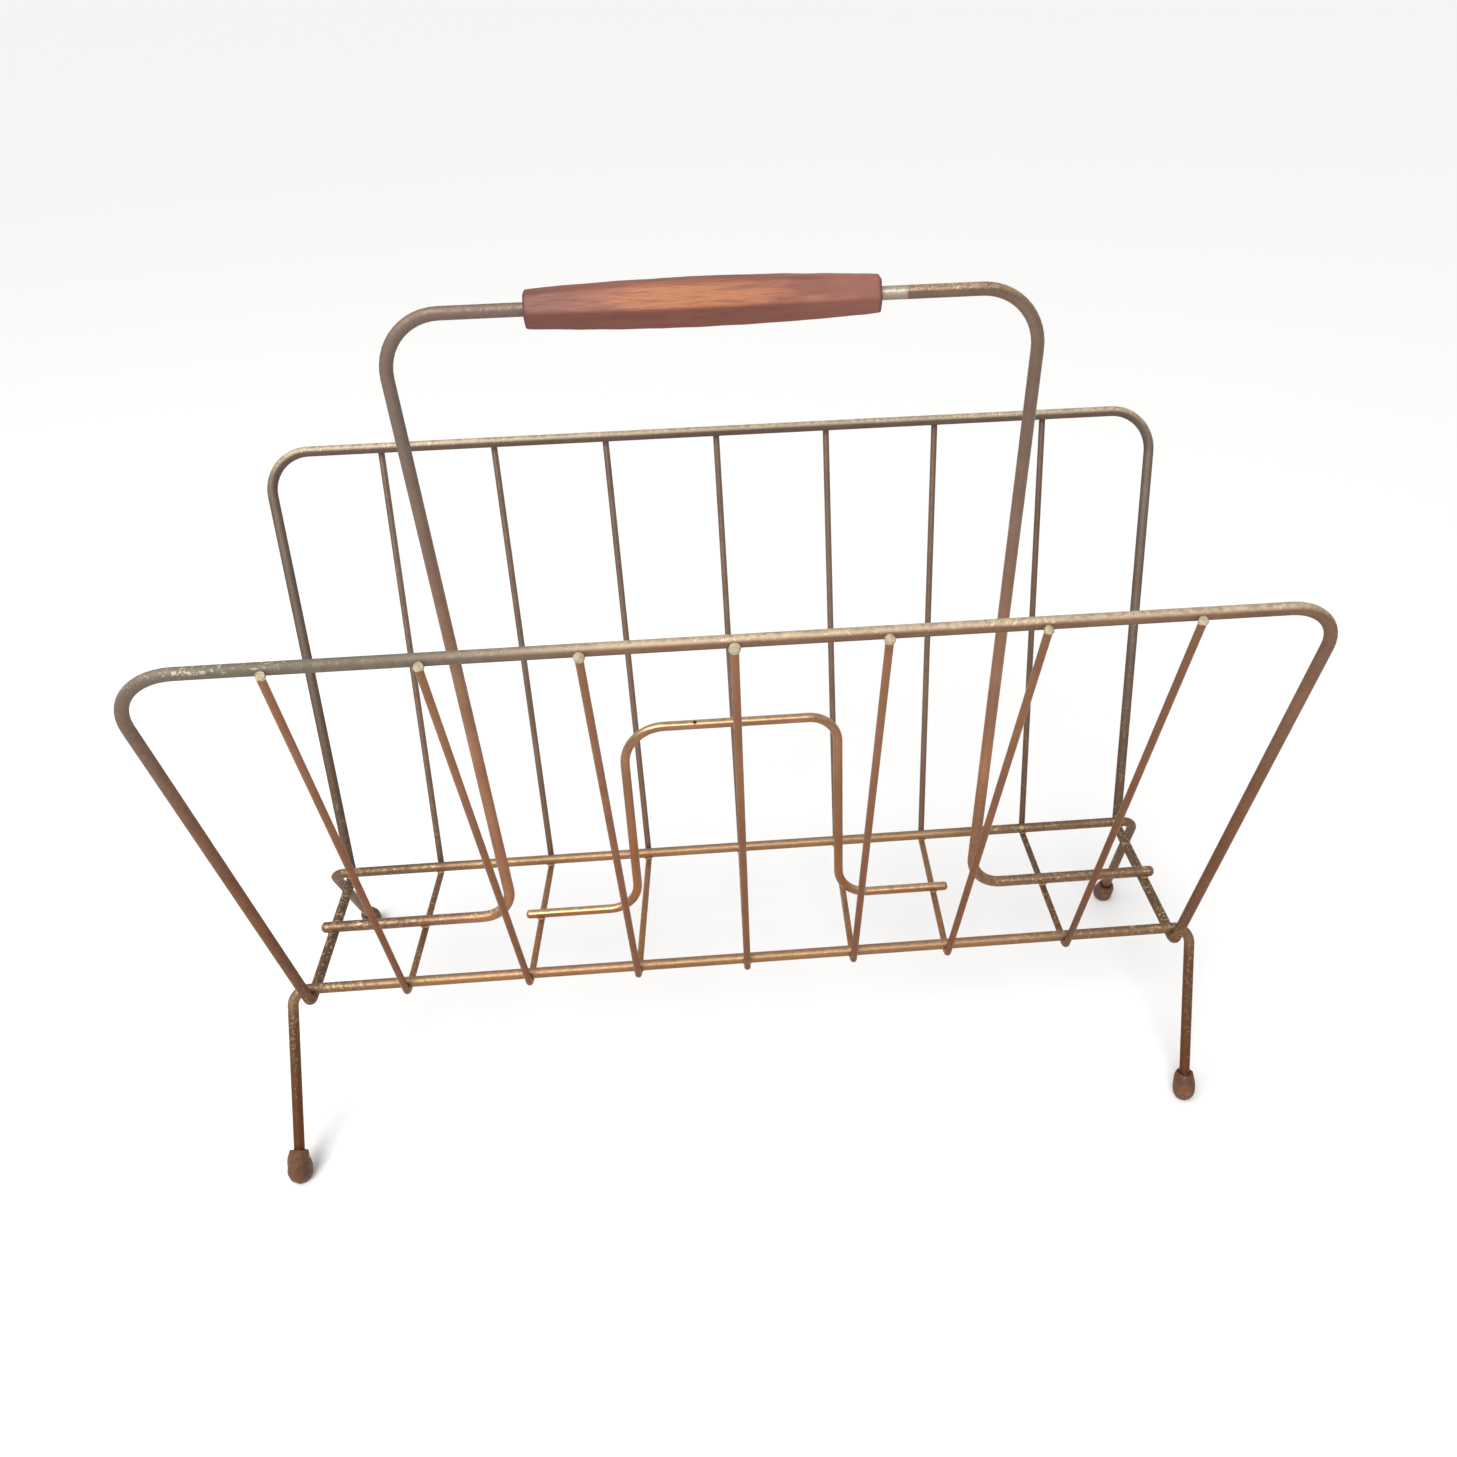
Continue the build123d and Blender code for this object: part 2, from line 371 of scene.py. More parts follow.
def makeBrass(name):
    # gives its tree, shader and tone too, for a wire that has marks of its own
    wear = brassWear[name]
    material, tree, surface = startMaterial(name)
    reflectionByPlace = useGroup(tree, ageing, Low=wear["from"], High=wear["to"])
    patches = useGroup(tree, mottle, Size=brass["patchSize"])
    up = useGroup(tree, upSide, From=0.1, To=0.95).outputs["Up"]
    down = useGroup(tree, upSide, From=-0.1, To=-0.85).outputs["Up"]
    chips = useGroup(tree, specks, Size=brass["chipSize"], Cover=wear["chips"]).outputs["Chips"]
    # painted reflection: the low, high and behind tones, set by height and by depth in the rack
    tone = blendTones(tree, reflectionByPlace.outputs["Height"], wear["low"], wear["high"])
    behind = calc(tree, "MULTIPLY", reflectionByPlace.outputs["Behind"], wear["behindShare"])
    tone = blendTones(tree, behind, tone, wear["behind"])
    stain = calc(tree, "MULTIPLY", patches.outputs["Patches"], brass["stainShare"])
    tone = blendTones(tree, stain, tone, brass["stainTone"])
    # painted shade: sides that face down are darkened towards the under tone
    tone = blendTones(tree, calc(tree, "MULTIPLY", down, brass["underShare"]), tone, wear["under"])
    # rubbed wear and painted top highlight: upper sides lightened towards the top tone
    lowShare, highShare = wear["topShare"]
    share = calc(tree, "MULTIPLY_ADD", reflectionByPlace.outputs["Height"], highShare - lowShare, lowShare)
    rubbedAndLit = calc(tree, "MULTIPLY", up, calc(tree, "MULTIPLY_ADD", patches.outputs["Fine"], 0.5, 0.5))
    tone = blendTones(tree, calc(tree, "MULTIPLY", rubbedAndLit, share), tone, wear["top"])
    tone = blendTones(tree, calc(tree, "MULTIPLY", chips, up), tone, brass["chipTone"])

    rough = spread(tree, patches.outputs["Fine"], 0.0, 1.0, *wear["roughness"])
    flecks = useGroup(tree, specks, **brass["flecks"]).outputs["Chips"]
    grit = calc(tree, "MULTIPLY", flecks, calc(tree, "MULTIPLY_ADD", up, 0.6, 0.4))
    burnt = blendTones(tree, grit, tarnish["tone"], tarnish["flecks"])
    for end in ("left", "right"):
        zone = tarnish[end]
        near = useGroup(tree, nearPoint, Point=zone["place"], Radius=zone["radius"]).outputs["Near"]
        uneven = calc(tree, "MULTIPLY", near, calc(tree, "MULTIPLY_ADD", patches.outputs["Fine"], 0.5, 0.6))
        held = calc(tree, "MINIMUM", calc(tree, "MULTIPLY", uneven, zone["share"]), 1.0)
        tone = blendTones(tree, held, tone, burnt)
        rough = calc(tree, "MULTIPLY_ADD", held, tarnish["dull"], rough)
    tree.links.new(tone, surface.inputs["Base Color"])
    tree.links.new(rough, surface.inputs["Roughness"])
    surface.inputs["Metallic"].default_value = brass["metallic"]
    surface.inputs["Specular IOR Level"].default_value = brass["gloss"]
    relief = calc(tree, "MULTIPLY_ADD", flecks, 0.5, patches.outputs["Fine"])
    addBump(tree, surface, relief, brass["reliefDepth"], wear["relief"])
    return material, tree, surface, tone


# the front rim's left end has gone grey, with chips on its top; both places are from that corner
smoke = {
    "fromCorner": (0.064, 0.0, 0.062),
    "radius": 0.158,
    "share": 0.9,
    "tone": srgb(120, 112, 100),
    "dull": 0.14,            # how much rougher it is there
    "scarsFromCorner": (0.042, 0.0, 0.0),
    "scarsRadius": 0.045,
    "scarTone": srgb(198, 190, 168),
    "scarShare": 0.75,
}


def addDull(tree, surface, near, amount):
    # a zone that is rougher than the rest of its wire
    rough = surface.inputs["Roughness"].links[0].from_socket
    tree.links.new(calc(tree, "MULTIPLY_ADD", near, amount, rough), surface.inputs["Roughness"])


def makeRimBrass():
    material, tree, surface, tone = makeBrass("rimBrass")
    low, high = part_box("front_bow")
    corner = Vector((low[0], low[1], high[2]))
    greyPoint = corner + Vector(smoke["fromCorner"])
    near = useGroup(tree, nearPoint, Point=greyPoint, Radius=smoke["radius"]).outputs["Near"]
    tone = blendTones(tree, calc(tree, "MULTIPLY", near, smoke["share"]), tone, smoke["tone"])
    scarPoint = corner + Vector(smoke["scarsFromCorner"])
    here = useGroup(tree, nearPoint, Point=scarPoint, Radius=smoke["scarsRadius"]).outputs["Near"]
    scars = useGroup(tree, specks, **brass["flecks"]).outputs["Chips"]
    up = useGroup(tree, upSide, From=-0.1, To=0.5).outputs["Up"]
    scarred = calc(tree, "MULTIPLY", scars, calc(tree, "MULTIPLY", here, up))
    scarred = calc(tree, "MULTIPLY", scarred, smoke["scarShare"])
    tree.links.new(blendTones(tree, scarred, tone, smoke["scarTone"]), surface.inputs["Base Color"])
    addDull(tree, surface, near, smoke["dull"])
    return material


# painted shade: the ribs grow darker to the right, between these two x
rightShade = {
    "from": 0.05,
    "to": 0.22,
    "share": 0.42,
    "tone": srgb(82, 52, 36),
}


def makeRibBrass():
    material, tree, surface, tone = makeBrass("ribBrass")
    along = objectParts(tree)["X"]
    # painted shade towards the right end of the rack
    share = spread(tree, along, rightShade["from"], rightShade["to"], 0.0, rightShade["share"])
    tree.links.new(blendTones(tree, share, tone, rightShade["tone"]), surface.inputs["Base Color"])
    return material


# beside the grip, which has rubbed the plating pale
bare = {
    "tone": srgb(186, 180, 162),
    "grimeTone": srgb(160, 146, 122),
    "grimeSize": 160.0,
    "grimeShare": 0.4,
    # painted shade on the bare patch's lower side
    "underTone": srgb(136, 120, 106),
    "underShare": 0.7,
    "width": 0.0105,
    "fade": 0.0004,
    "hidden": 0.004,         # how far it reaches under the grip
    "below": 0.002,          # how far below the grip's lowest side the bar's ends may lie
}
# the left end of the handle's top bar has lost its shine
dullBar = {
    "place": (-0.125, 0.0, 0.384),
    "radius": 0.11,
    "tone": srgb(124, 108, 98),
    "share": 0.75,
    "dull": 0.24,
}


def makeHandleBrass():
    material, tree, surface, tone = makeBrass("handleBrass")
    gripLow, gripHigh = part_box("wooden_grip")
    parts = objectParts(tree)
    end = gripHigh[0] + bare["width"]
    past = spread(tree, parts["X"], end - bare["fade"], end + bare["fade"])
    start = gripHigh[0] - bare["hidden"]
    begun = spread(tree, parts["X"], start, start + 0.001)
    high = spread(tree, parts["Z"], gripLow[2] - bare["below"], gripLow[2])
    shown = calc(tree, "MULTIPLY", calc(tree, "SUBTRACT", begun, past), high)
    grime = useGroup(tree, mottle, Size=bare["grimeSize"]).outputs["Patches"]
    grimy = calc(tree, "MULTIPLY", grime, bare["grimeShare"])
    pale = blendTones(tree, grimy, bare["tone"], bare["grimeTone"])
    # painted shade: the bare patch darker where it faces down
    down = useGroup(tree, upSide, From=0.35, To=-0.4).outputs["Up"]
    pale = blendTones(tree, calc(tree, "MULTIPLY", down, bare["underShare"]), pale, bare["underTone"])
    near = useGroup(tree, nearPoint, Point=dullBar["place"], Radius=dullBar["radius"]).outputs["Near"]
    tone = blendTones(tree, calc(tree, "MULTIPLY", near, dullBar["share"]), tone, dullBar["tone"])
    addDull(tree, surface, near, dullBar["dull"])
    tree.links.new(blendTones(tree, shown, tone, pale), surface.inputs["Base Color"])
    return material


# a small black pit in the front of the hoop's top bar
pit = {
    "fromMiddle": -0.016,
    "forward": 0.0012,
    "fromTop": 0.0003,
    "radius": 0.0014,
    "tone": srgb(40, 28, 22),
}


def makeHoopBrass():
    material, tree, surface, tone = makeBrass("hoopBrass")
    low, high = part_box("divider_hoop")
    point = ((low[0] + high[0]) / 2 + pit["fromMiddle"], -pit["forward"], high[2] - pit["fromTop"])
    near = useGroup(tree, nearPoint, Point=point, Radius=pit["radius"]).outputs["Near"]
    tree.links.new(blendTones(tree, near, tone, pit["tone"]), surface.inputs["Base Color"])
    return material


def finish(node, material):
    # a CAD node keeps its shape and takes a new finish
    mesh = frame["nodes"][node].data
    mesh.materials.clear()
    mesh.materials.append(material)


rimBrass = makeRimBrass()
ribBrass = makeRibBrass()
railBrass = makeBrass("railBrass")[0]
for node in frame["nodes"]:
    if node.endswith("bow"):
        finish(node, rimBrass)
    elif node.startswith("rib_"):
        finish(node, ribBrass)
    elif node.endswith("base_wire"):
        finish(node, railBrass)
finish("handle_rod", makeHandleBrass())
finish("divider_hoop", makeHoopBrass())
print("wire finishes placed")


# modelling helpers
def startPiece(name):
    # the primitive that was just added becomes a piece, with its place in its mesh
    piece = bpy.context.object
    piece.name = name
    piece.data.name = name
    bpy.ops.object.transform_apply(location=True, rotation=True, scale=True)
    return piece


def pick(piece, kind, wanted):
    # in edit mode: selects only the vertices, edges or faces that are wanted
    bpy.ops.mesh.select_mode(type=kind)
    bpy.ops.mesh.select_all(action="DESELECT")
    shape = bmesh.from_edit_mesh(piece.data)
    items = {"VERT": shape.verts, "EDGE": shape.edges, "FACE": shape.faces}[kind]
    for item in items:
        if wanted(item):
            item.select_set(True)
    shape.select_flush_mode()
    bmesh.update_edit_mesh(piece.data)


def only(piece):
    bpy.ops.object.select_all(action="DESELECT")
    piece.select_set(True)
    bpy.context.view_layer.objects.active = piece


def applyModifier(piece, name, kind, **settings):
    modifier = piece.modifiers.new(name, kind)
    for key, value in settings.items():
        setattr(modifier, key, value)
    only(piece)
    bpy.ops.object.modifier_apply(modifier=name)


def roughen(piece, depth, size):
    # a hand-worked unevenness, different wherever the piece stands
    clouds = bpy.data.textures.new(piece.name + "Clouds", "CLOUDS")
    clouds.noise_scale = size
    clouds.noise_depth = 2
    applyModifier(piece, "uneven", "DISPLACE", texture=clouds, strength=depth,
                  mid_level=0.5, texture_coords="LOCAL")


def copyOf(piece, name):
    twin = piece.copy()
    twin.data = piece.data.copy()
    twin.name = name
    twin.data.name = name
    bpy.context.scene.collection.objects.link(twin)
    return twin


def settle(piece, place):
    # moves a finished shape to its place, and keeps the object itself at the origin
    piece.data.transform(place)


def dress(piece, material, slot, body, *nodes):
    piece.data.materials.clear()
    piece.data.materials.append(material)
    only(piece)
    bpy.ops.object.shade_smooth_by_angle(angle=math.radians(40))
    if nodes:
        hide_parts(*nodes)
    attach(piece, body)


# wood of the grip
wood = {
    "redTone": srgb(146, 92, 74),
    "brownTone": srgb(118, 70, 58),
    "orangeTone": srgb(162, 102, 66),
    "strokeTone": srgb(102, 56, 40),
    # painted shade on the grip's lower facets
    "underTone": srgb(104, 54, 46),
    "edgeTone": srgb(78, 42, 36),
    "leftTone": srgb(110, 66, 55),   # darker at the left end, paler at the right
    "rightTone": srgb(168, 116, 98),
    "orangePlace": (-0.004, -0.0075, 0.0040),  # middle of the orange figure, from the grip's middle
    "orangeReach": (0.040, 0.0055, 0.0060),
    "orangeTurn": 2.0,              # degrees from the grain
    # noise sizes along and across the grain, in waves per metre
    "ragged": (45, 420, 420),
    "cloud": (22, 110, 110),
    "strokes": (42, 520, 520),
    "pores": (110, 1500, 1500),
    "poreShare": 0.4,
    "underShare": 0.62,
    "leftShare": 0.8,
    "rightShare": 0.22,
    "edgeShare": 0.75,
    "roughness": (0.44, 0.62),
    "gloss": 0.35,
    "poreDepth": 0.00006,
    "edgeBand": (0.0020, 0.0002),   # where the painted shade of the ends starts and is full, from each end
}


def makeWood():
    material, tree, surface = startMaterial("gripWood")
    low, high = [Vector(corner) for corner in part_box("wooden_grip")]
    middle = (low + high) / 2
    place = put(tree, "Mapping", vector_type="TEXTURE")
    place.inputs["Location"].default_value = middle
    tree.links.new(put(tree, "TexCoord").outputs["Object"], place.inputs["Vector"])
    parts = put(tree, "SeparateXYZ")
    tree.links.new(place.outputs["Vector"], parts.inputs[0])

    def streaks(scale, detail, distortion=0.0):
        # noise drawn out along the grain
        stretched = put(tree, "Mapping")
        stretched.inputs["Scale"].default_value = scale
        tree.links.new(place.outputs["Vector"], stretched.inputs["Vector"])
        noise = put(tree, "TexNoise", Scale=1.0, Detail=detail, Roughness=0.6, Distortion=distortion)
        tree.links.new(stretched.outputs["Vector"], noise.inputs["Vector"])
        return noise.outputs["Fac"]

    # an orange figure on one side, ragged at its ends
    figure = put(tree, "Mapping", vector_type="TEXTURE")
    figure.inputs["Location"].default_value = wood["orangePlace"]
    figure.inputs["Rotation"].default_value = (0, math.radians(wood["orangeTurn"]), 0)
    figure.inputs["Scale"].default_value = wood["orangeReach"]
    tree.links.new(place.outputs["Vector"], figure.inputs["Vector"])
    reach = put(tree, "VectorMath", operation="LENGTH")
    tree.links.new(figure.outputs["Vector"], reach.inputs[0])
    ragged = streaks(wood["ragged"], 4.0)
    edge = calc(tree, "MULTIPLY_ADD", ragged, 1.1, calc(tree, "SUBTRACT", reach.outputs["Value"], 0.55))
    orange = calc(tree, "SUBTRACT", 1.0, spread(tree, edge, 0.55, 1.15))

    # short dark strokes along the grain, and pores
    strokes = spread(tree, streaks(wood["strokes"], 5.0, 0.2), 0.50, 0.68)
    pores = streaks(wood["pores"], 4.0)

    cloud = spread(tree, streaks(wood["cloud"], 3.0, 0.3), 0.36, 0.62)
    tone = blendTones(tree, cloud, wood["redTone"], wood["brownTone"])
    tone = blendTones(tree, orange, tone, wood["orangeTone"])
    strokeShare = calc(tree, "MULTIPLY", strokes, calc(tree, "MULTIPLY_ADD", orange, 0.25, 0.35))
    tone = blendTones(tree, strokeShare, tone, wood["strokeTone"])
    poreShare = spread(tree, pores, 0.52, 0.75, 0.0, wood["poreShare"])
    tone = blendTones(tree, poreShare, tone, wood["strokeTone"])
    # painted shade: the facets that face down are darkened
    shade = useGroup(tree, upSide, From=0.25, To=-0.25).outputs["Up"]
    tone = blendTones(tree, calc(tree, "MULTIPLY", shade, wood["underShare"]), tone, wood["underTone"])
    half = (high.x - low.x) / 2
    leftEnd = spread(tree, parts.outputs["X"], -half, -half * 0.35, wood["leftShare"], 0.0)
    tone = blendTones(tree, leftEnd, tone, wood["leftTone"])
    rightEnd = spread(tree, parts.outputs["X"], half * 0.3, half, 0.0, wood["rightShare"])
    tone = blendTones(tree, rightEnd, tone, wood["rightTone"])
    # painted shade: both ends darkened, standing in for the dark gap where the rod enters the bore
    outward = calc(tree, "ABSOLUTE", parts.outputs["X"])
    begin, full = wood["edgeBand"]
    endShade = spread(tree, outward, half - begin, half - full, 0.0, wood["edgeShare"])
    tone = blendTones(tree, endShade, tone, wood["edgeTone"])
    tree.links.new(tone, surface.inputs["Base Color"])
    rough = spread(tree, pores, 0.3, 0.7, *wood["roughness"])
    tree.links.new(rough, surface.inputs["Roughness"])
    surface.inputs["Specular IOR Level"].default_value = wood["gloss"]
    addBump(tree, surface, pores, wood["poreDepth"], 0.5)
    return material


grip = {
    "endFlats": 0.0140,      # across the flats at the two ends
    "cuts": 15,              # rings between the ends
    "longRound": 0.0013,
    "endRound": 0.0011,
    "boreRadius": 0.00283,
    "handCut": 0.0005,       # how uneven the facets are
    "cutSize": 0.012,
}


def makeGrip():
    low, high = [Vector(corner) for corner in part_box("wooden_grip")]
    middle, length, flats = (low + high) / 2, high.x - low.x, high.z - low.z
    bpy.ops.object.select_all(action="DESELECT")
    bpy.ops.mesh.primitive_cylinder_add(
        vertices=6, radius=flats / 2 / math.cos(math.pi / 6), depth=length,
        location=middle, rotation=(0, math.pi / 2, 0))
    piece = startPiece("facetedGrip")
    bpy.ops.object.mode_set(mode="EDIT")
    pick(piece, "EDGE", lambda edge: abs(edge.verts[0].co.x - edge.verts[1].co.x) > length / 2)
    bpy.ops.mesh.subdivide(number_cuts=grip["cuts"])
    step = length / (grip["cuts"] + 1)
    thickness = grip["endFlats"] / flats
    for index in range(grip["cuts"] + 2):
        x = low.x + index * step
        out = 2 * (x - middle.x) / length
        pick(piece, "VERT", lambda vert: abs(vert.co.x - x) < step / 4)
        barrel = 1 - (1 - thickness) * out * out
        bpy.ops.transform.resize(value=(1, barrel, barrel))
    pick(piece, "EDGE", lambda edge: abs(edge.verts[0].co.x - edge.verts[1].co.x) > step / 2)
    bpy.ops.mesh.bevel(offset=grip["longRound"], segments=3, affect="EDGES")
    atEnd = lambda vert: abs(abs(vert.co.x - middle.x) - length / 2) < 1e-5
    pick(piece, "EDGE", lambda edge: all(atEnd(vert) for vert in edge.verts))
    bpy.ops.mesh.bevel(offset=grip["endRound"], segments=3, affect="EDGES")
    bpy.ops.object.mode_set(mode="OBJECT")
    applyModifier(piece, "soft", "SUBSURF", levels=2, render_levels=2)
    roughen(piece, grip["handCut"], grip["cutSize"])

    bpy.ops.object.select_all(action="DESELECT")
    bpy.ops.mesh.primitive_cylinder_add(
        vertices=48, radius=grip["boreRadius"], depth=length * 1.2,
        location=middle, rotation=(0, math.pi / 2, 0))
    drill = startPiece("drill")
    applyModifier(piece, "bore", "BOOLEAN", object=drill, operation="DIFFERENCE", solver="EXACT")
    bpy.data.objects.remove(drill)
    return piece


dress(makeGrip(), makeWood(), "grip_wood", "grip", "wooden_grip")
print("grip placed")


# base wires, which the caps and the welds are placed by
base = {
    "wireRadius": 0.0025,
    "wireMeets": 0.0050,     # from the rails' top down to where the wires under them touch
    "crossbarX": 0.209,
    "footEnd": 0.0045,       # from the handle foot's tip to the crossbar's middle
}
# foot caps: one moulding, then each worn in its own way
cap = {
    "radius": 0.0055,
    "flat": 0.0007,          # worn off where it stands
    "top": 0.0090,           # mouth above the widest ring
    "stretch": 2.45,         # how much longer the upper half is than a ball's
    "mouthRadius": 0.0030,
    "mouthDepth": 0.0035,
    "mouthEdge": 0.0004,
    "legTopX": 0.2175,
    "lumpSize": 0.0045,
    "clear": 0.00002,        # off the floor
    "tones": (srgb(78, 44, 17), srgb(108, 66, 27)),
    "patchSize": 150.0,
    "dirtTone": srgb(60, 38, 24),
    "dirtShare": 0.3,
    "scuffTone": srgb(168, 134, 98),
    "scuffShare": 0.6,
    "scuffs": {"Size": 900.0, "Cover": 0.35, "Gathering": 120.0},
    "dustTone": srgb(120, 104, 84),
    "dustShare": 0.3,
    "dustHeights": (0.0005, 0.0035),
    "roughness": (0.48, 0.70),
    "relief": 0.00025,
}
capWear = {
    # wide and long: size beside the plain moulding; slant: degrees of the mouth
    "front_left": {"wide": 1.04, "long": 1.14, "slant": 16, "lumps": 0.0012, "lean": 0.0006},
    "front_right": {"wide": 0.98, "long": 1.00, "slant": -10, "lumps": 0.0006, "lean": 0.0},
    "back_left": {"wide": 1.00, "long": 1.02, "slant": 6, "lumps": 0.0007, "lean": 0.0},
    "back_right": {"wide": 1.00, "long": 1.05, "slant": -7, "lumps": 0.0008, "lean": -0.0003},
}


def makeCapPlastic():
    material, tree, surface = startMaterial("capPlastic")
    patches = useGroup(tree, mottle, Size=cap["patchSize"])
    tone = blendTones(tree, patches.outputs["Patches"], *cap["tones"])
    dirty = calc(tree, "MULTIPLY", patches.outputs["Fine"], cap["dirtShare"])
    tone = blendTones(tree, dirty, tone, cap["dirtTone"])
    scuffs = useGroup(tree, specks, **cap["scuffs"]).outputs["Chips"]
    tone = blendTones(tree, calc(tree, "MULTIPLY", scuffs, cap["scuffShare"]), tone, cap["scuffTone"])
    dusty = spread(tree, objectParts(tree)["Z"], *cap["dustHeights"], cap["dustShare"], 0.0)
    tone = blendTones(tree, dusty, tone, cap["dustTone"])
    tree.links.new(tone, surface.inputs["Base Color"])
    rough = spread(tree, patches.outputs["Fine"], 0.0, 1.0, *cap["roughness"])
    tree.links.new(rough, surface.inputs["Roughness"])
    addBump(tree, surface, patches.outputs["Fine"], cap["relief"], 0.6)
    return material


def makeCap():
    bpy.ops.object.select_all(action="DESELECT")
    bpy.ops.mesh.primitive_uv_sphere_add(segments=36, ring_count=20, radius=cap["radius"], location=(0, 0, 0))
    piece = startPiece("plainCap")
    bpy.ops.object.mode_set(mode="EDIT")
    pick(piece, "VERT", lambda vert: vert.co.z > 1e-6)
    bpy.ops.transform.resize(value=(1, 1, cap["stretch"]), center_override=(0, 0, 0))
    bpy.ops.mesh.select_all(action="SELECT")
    bpy.ops.mesh.bisect(plane_co=(0, 0, cap["top"]), plane_no=(0, 0, 1), use_fill=True, clear_outer=True)
    pick(piece, "FACE", lambda face: face.normal.z > 0.99 and len(face.verts) > 4)
    rimRadius = cap["radius"] * math.sqrt(1 - (cap["top"] / cap["radius"] / cap["stretch"]) ** 2)
    bpy.ops.mesh.inset(thickness=cap["mouthEdge"])
    bpy.ops.mesh.inset(thickness=rimRadius - cap["mouthRadius"] - cap["mouthEdge"])
    bpy.ops.mesh.extrude_region_move(TRANSFORM_OT_translate={"value": (0, 0, -cap["mouthDepth"])})
    bpy.ops.object.mode_set(mode="OBJECT")
    return piece


def railMiddle(place):
    # y and z of a base rail's own middle
    low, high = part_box(place + "_base_wire")
    y = high[1] - base["wireRadius"] if place == "front" else low[1] + base["wireRadius"]
    return y, high[2] - base["wireRadius"]


def makeCaps(material):
    plain = makeCap()
    for mount in frame["record"]["mounts"]:
        corner = mount["name"].replace("rest_", "")
        wear = capWear[corner]
        place, hand = corner.split("_")
        sideX = -1 if hand == "left" else 1
        legTop = Vector((sideX * cap["legTopX"], *railMiddle(place)))
        centre = Vector((mount["pos_m"][0], mount["pos_m"][1], cap["radius"] - cap["flat"]))

        piece = copyOf(plain, corner + "_worn_cap")
        only(piece)
        bpy.ops.object.mode_set(mode="EDIT")
        pick(piece, "VERT", lambda vert: vert.co.z > cap["top"] - cap["mouthDepth"] - 1e-5)
        bpy.ops.transform.rotate(value=math.radians(wear["slant"]), orient_axis="Y",
                                 center_override=(0, 0, cap["top"]))
        pick(piece, "VERT", lambda vert: vert.co.z > cap["radius"] / 2)
        bpy.ops.transform.translate(value=(wear["lean"], 0, 0))
        bpy.ops.mesh.select_all(action="SELECT")
        bpy.ops.transform.resize(value=(wear["wide"], wear["wide"], wear["long"]), center_override=(0, 0, 0))
        bpy.ops.object.mode_set(mode="OBJECT")
        turn = (legTop - centre).to_track_quat("Z", "X").to_matrix().to_4x4()
        settle(piece, Matrix.Translation(centre) @ turn)
        roughen(piece, wear["lumps"], cap["lumpSize"])
        bpy.ops.object.mode_set(mode="EDIT")
        bpy.ops.mesh.select_all(action="SELECT")
        bpy.ops.mesh.bisect(plane_co=(0, 0, cap["clear"]), plane_no=(0, 0, -1), use_fill=True,
                            clear_outer=True, threshold=0.000001)
        bpy.ops.object.mode_set(mode="OBJECT")
        dress(piece, material, "foot_cap", "rack", corner + "_foot_cap")
    bpy.data.objects.remove(plain)


makeCaps(makeCapPlastic())
print("foot caps placed")


# welds: a cut, filed blob on each rib end, and a squashed one at each crossing of the base
weld = {
    "radius": 0.0021,
    "endFlat": 0.0010,       # filed off this far from the middle
    "flatEdge": 0.0003,
    "flatRise": 0.00012,
    "facing": (0.62, 0.78),  # the filed ends point outwards and up
    "crossing": (1.05, 1.05, 0.55),
    "lumps": 0.0005,
    "lumpSize": 0.0016,
    "metallic": 0.75,
    "roughness": (0.30, 0.55),
    "relief": 0.0002,
    "patchSize": 420.0,
    "dirtShare": 0.7,
    "rimTones": (srgb(204, 192, 164), srgb(150, 132, 106)),
    "crossingTones": (srgb(186, 152, 108), srgb(116, 84, 60)),
    # how much the blobs differ from each other, in size and in the way they face
    "rimVaries": 0.07,
    "crossingVaries": 0.12,
    "facingVaries": 0.15,
}


def makeWeldBrass(name, tone, dirt):
    material, tree, surface = startMaterial(name)
    patches = useGroup(tree, mottle, Size=weld["patchSize"])
    dirty = calc(tree, "MULTIPLY", patches.outputs["Patches"], weld["dirtShare"])
    mixed = blendTones(tree, dirty, tone, dirt)
    tree.links.new(mixed, surface.inputs["Base Color"])
    rough = spread(tree, patches.outputs["Fine"], 0.0, 1.0, *weld["roughness"])
    tree.links.new(rough, surface.inputs["Roughness"])
    surface.inputs["Metallic"].default_value = weld["metallic"]
    addBump(tree, surface, patches.outputs["Fine"], weld["relief"], 0.6)
    return material


def makeBlob(filed):
    bpy.ops.object.select_all(action="DESELECT")
    bpy.ops.mesh.primitive_uv_sphere_add(segments=20, ring_count=12, radius=weld["radius"],
                                         location=(0, 0, 0))
    piece = startPiece("blob")
    bpy.ops.object.mode_set(mode="EDIT")
    bpy.ops.mesh.select_all(action="SELECT")
    if filed:
        bpy.ops.mesh.bisect(plane_co=(0, 0, weld["endFlat"]), plane_no=(0, 0, 1),
                            use_fill=True, clear_outer=True)
        pick(piece, "FACE", lambda face: face.normal.z > 0.99 and len(face.verts) > 4)
        bpy.ops.mesh.inset(thickness=weld["flatEdge"])
        bpy.ops.transform.translate(value=(0, 0, weld["flatRise"]))
    else:
        bpy.ops.transform.resize(value=weld["crossing"], center_override=(0, 0, 0))
    bpy.ops.object.mode_set(mode="OBJECT")
    return piece


def joinBlobs(blobs, name):
    bpy.ops.object.select_all(action="DESELECT")
    for blob in blobs:
        blob.select_set(True)
    bpy.context.view_layer.objects.active = blobs[0]
    bpy.ops.object.join()
    blobs[0].name = name
    blobs[0].data.name = name
    return blobs[0]


def islandsAlongX(node):
    # middles of a node's separate solids, which lie apart along the rack
    places = sorted((Vector(vert.co) for vert in frame["nodes"][node].data.vertices), key=lambda p: p.x)
    groups = [[places[0]]]
    for last, here in zip(places, places[1:]):
        if here.x - last.x > 0.01:
            groups.append([])
        groups[-1].append(here)
    return [sum(group, Vector()) / len(group) for group in groups]


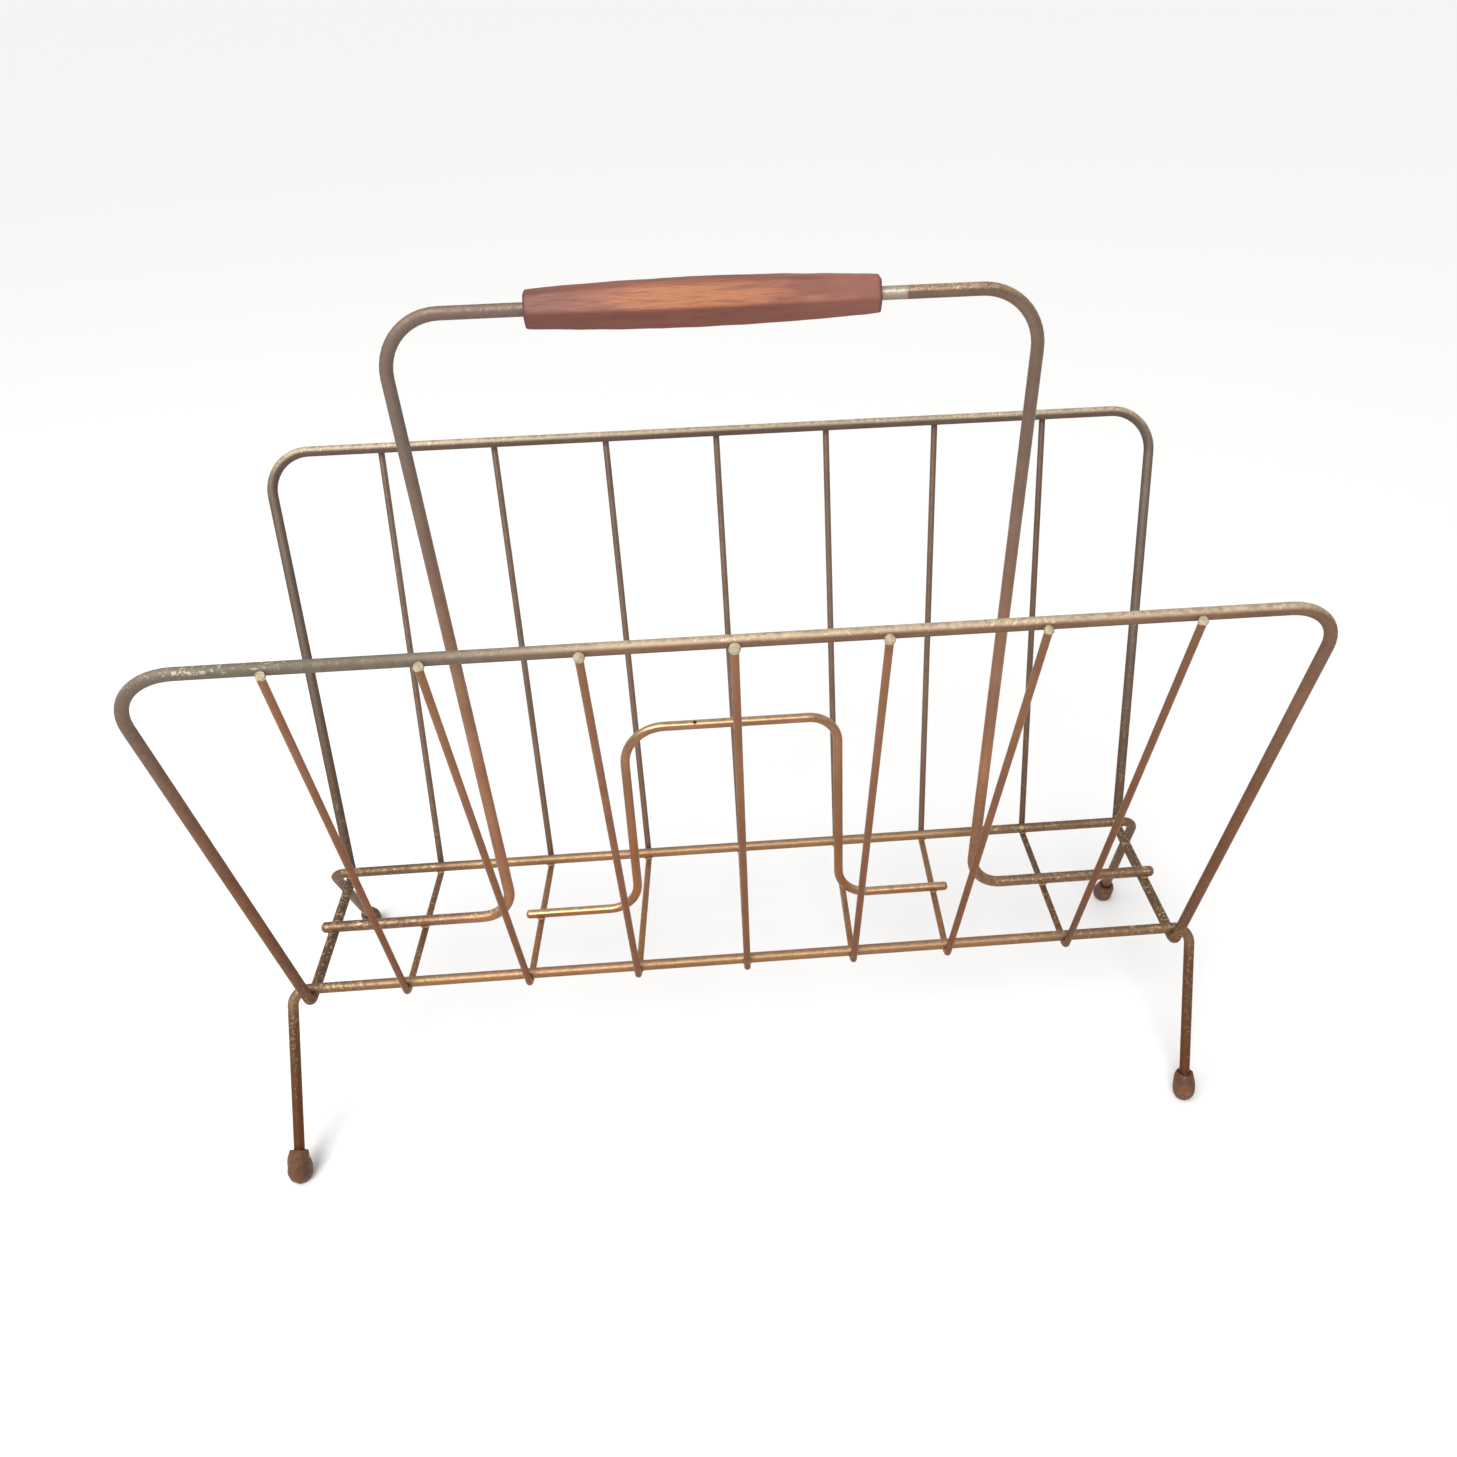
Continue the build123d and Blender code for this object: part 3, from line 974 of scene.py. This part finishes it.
def makeRimBeads(material):
    plain = makeBlob(filed=True)
    for place, side in (("front", -1), ("back", 1)):
        node = place + "_rim_beads"
        blobs = []
        for index, centre in enumerate(islandsAlongX(node)):
            blob = copyOf(plain, f"{place}Blob{index}")
            size = 1 + weld["rimVaries"] * math.sin(5 * index + side)
            outward, up = weld["facing"]
            sway = weld["facingVaries"] * math.sin(3 * index)
            facing = Vector((sway, side * outward, up))
            turn = facing.to_track_quat("Z", "X").to_matrix().to_4x4()
            settle(blob, Matrix.Translation(centre) @ turn @ Matrix.Scale(size, 4))
            blobs.append(blob)
        piece = joinBlobs(blobs, place + "RibEndWelds")
        roughen(piece, weld["lumps"], weld["lumpSize"])
        dress(piece, material, "weld_bead", "rack", node)
    bpy.data.objects.remove(plain)


def floorX(node, y, reach=0.012, depth=0.006):
    # where a wire's lowest run passes a line across the rack
    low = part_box(node)[0]
    near = [vert.co.x for vert in frame["nodes"][node].data.vertices
            if abs(vert.co.y - y) < reach and vert.co.z < low[2] + depth]
    return sum(near) / len(near)


def baseCrossings():
    # every place where two wires of the base lie on each other
    ribs = sorted(node for node in frame["nodes"] if node.startswith("rib_"))
    spots = []
    for place in ("front", "back"):
        railY, railZ = railMiddle(place)
        level = railZ + base["wireRadius"] - base["wireMeets"]
        spots += [(floorX(rib, railY), railY, level) for rib in ribs]
        spots += [(side * base["crossbarX"], railY, level) for side in (-1, 1)]
    footLow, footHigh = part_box("handle_rod")
    for x in (footLow[0] + base["footEnd"], footHigh[0] - base["footEnd"]):
        spots.append((x, 0, level))
    # the handle's feet lie on the outer ribs, and the hoop's feet on the next ones
    for rib in (ribs[0], ribs[-1], ribs[1], ribs[-2]):
        x = (floorX(rib, -railY) + floorX(rib, railY)) / 2
        spots.append((x, 0, level))
    return spots


def makeCrossingWelds(material):
    plain = makeBlob(filed=False)
    blobs = []
    for index, spot in enumerate(baseCrossings()):
        blob = copyOf(plain, f"crossingBlob{index}")
        size = 1 + weld["crossingVaries"] * math.sin(7 * index)
        turn = Matrix.Rotation(index, 4, "Z")
        settle(blob, Matrix.Translation(spot) @ turn @ Matrix.Scale(size, 4))
        blobs.append(blob)
    bpy.data.objects.remove(plain)
    piece = joinBlobs(blobs, "crossingWelds")
    roughen(piece, weld["lumps"], weld["lumpSize"])
    dress(piece, material, "weld_bead", "rack")


makeRimBeads(makeWeldBrass("rimWeld", *weld["rimTones"]))
makeCrossingWelds(makeWeldBrass("crossingWeld", *weld["crossingTones"]))
print("welds placed")
